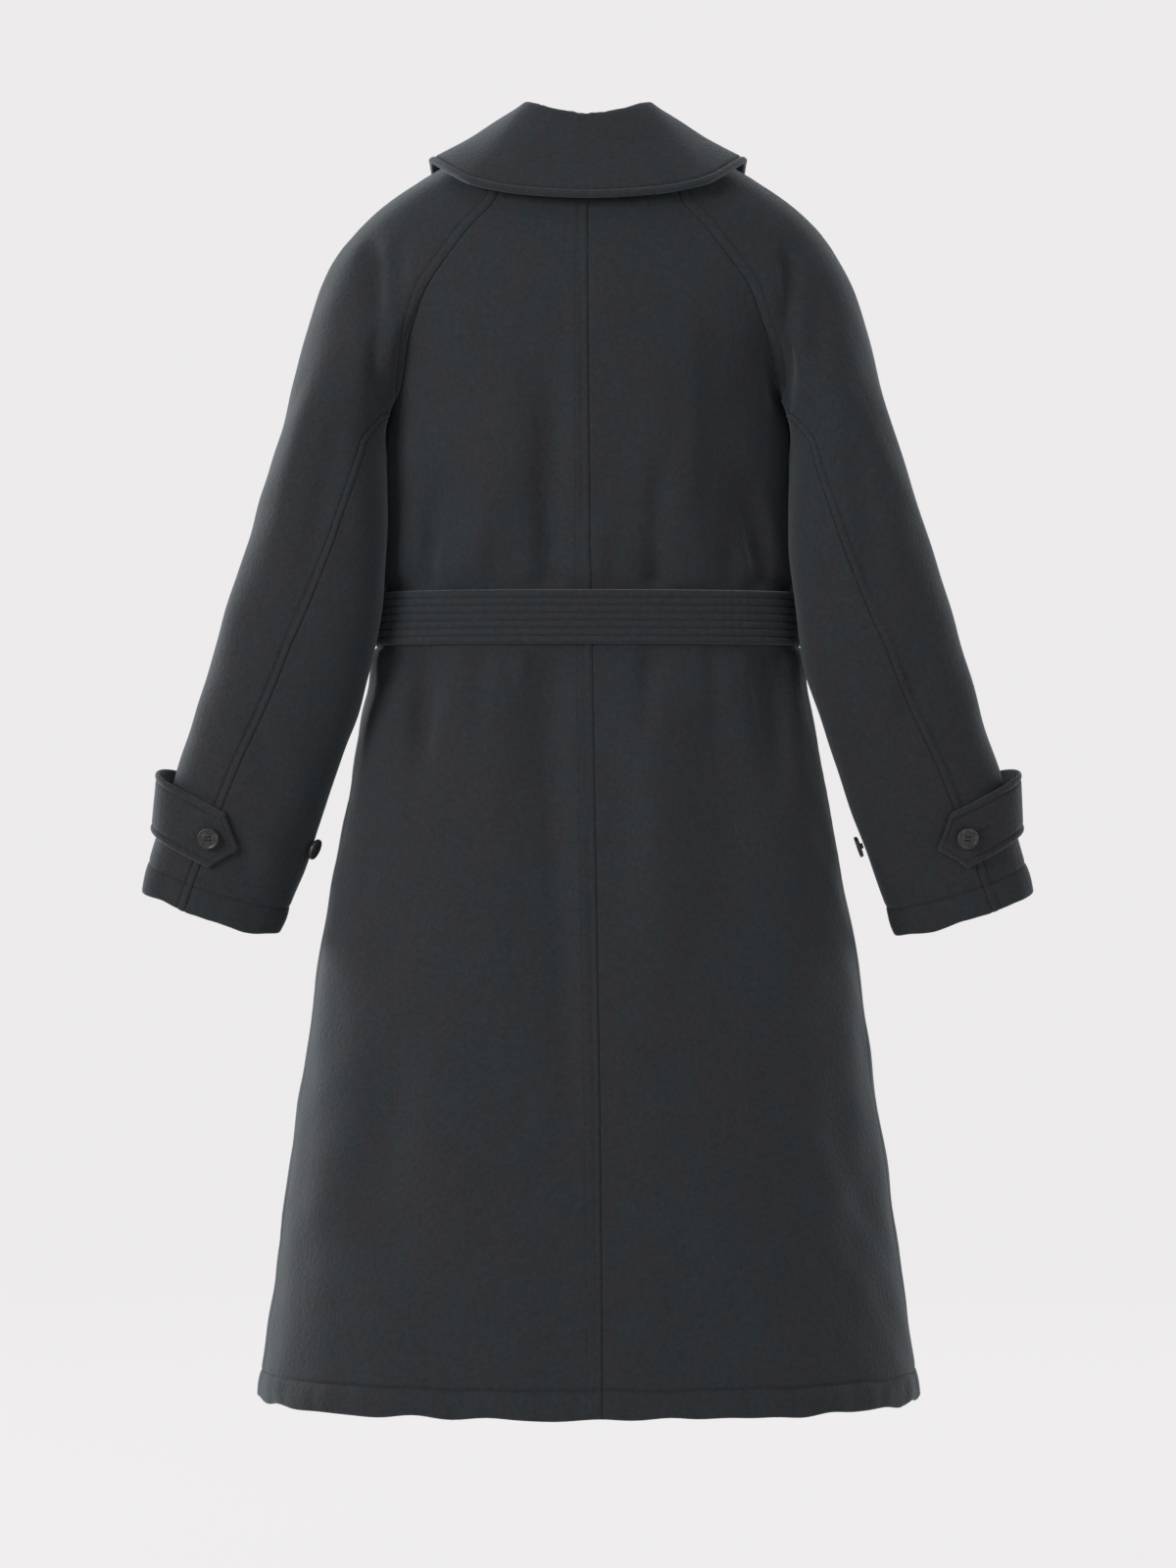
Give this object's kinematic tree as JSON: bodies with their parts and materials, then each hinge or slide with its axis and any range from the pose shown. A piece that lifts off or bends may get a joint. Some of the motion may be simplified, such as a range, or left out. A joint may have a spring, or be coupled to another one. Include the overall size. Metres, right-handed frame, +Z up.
{
  "type": "padded trench coat",
  "caption": "Long padded raglan trench coat with a turned-down collar, a channel-stitched tie belt and buttoned cuff tabs, hollow as worn.",
  "frame": {"origin": "middle of the neck, level with the shoulder ends of the neckline, where the shoulders carry the coat", "axes": "+X to the wearer's right, +Y the way the wearer faces, +Z up; the picture looks at the back, along +Y"},
  "size_m": [0.837, 0.3799, 1.2046],
  "materials": {
    "shell_cloth": "matte peached microfibre",
    "belt_cloth": "matte, stitched in channels",
    "button": "dark horn, satin"
  },
  "bodies": {
    "root": {"back_left": "shell_cloth", "back_right": "shell_cloth", "belt": "belt_cloth", "belt_knot": "belt_cloth", "belt_tail_left": "belt_cloth", "belt_tail_right": "belt_cloth", "collar": "shell_cloth", "cuff_button_left": "button", "cuff_button_right": "button", "cuff_tab_left": "shell_cloth", "cuff_tab_right": "shell_cloth", "front_left": "shell_cloth", "front_right": "shell_cloth", "sleeve_back_left": "shell_cloth", "sleeve_back_right": "shell_cloth", "sleeve_front_left": "shell_cloth", "sleeve_front_right": "shell_cloth", "tab_button_left": "button", "tab_button_right": "button"}
  },
  "joints": []
}
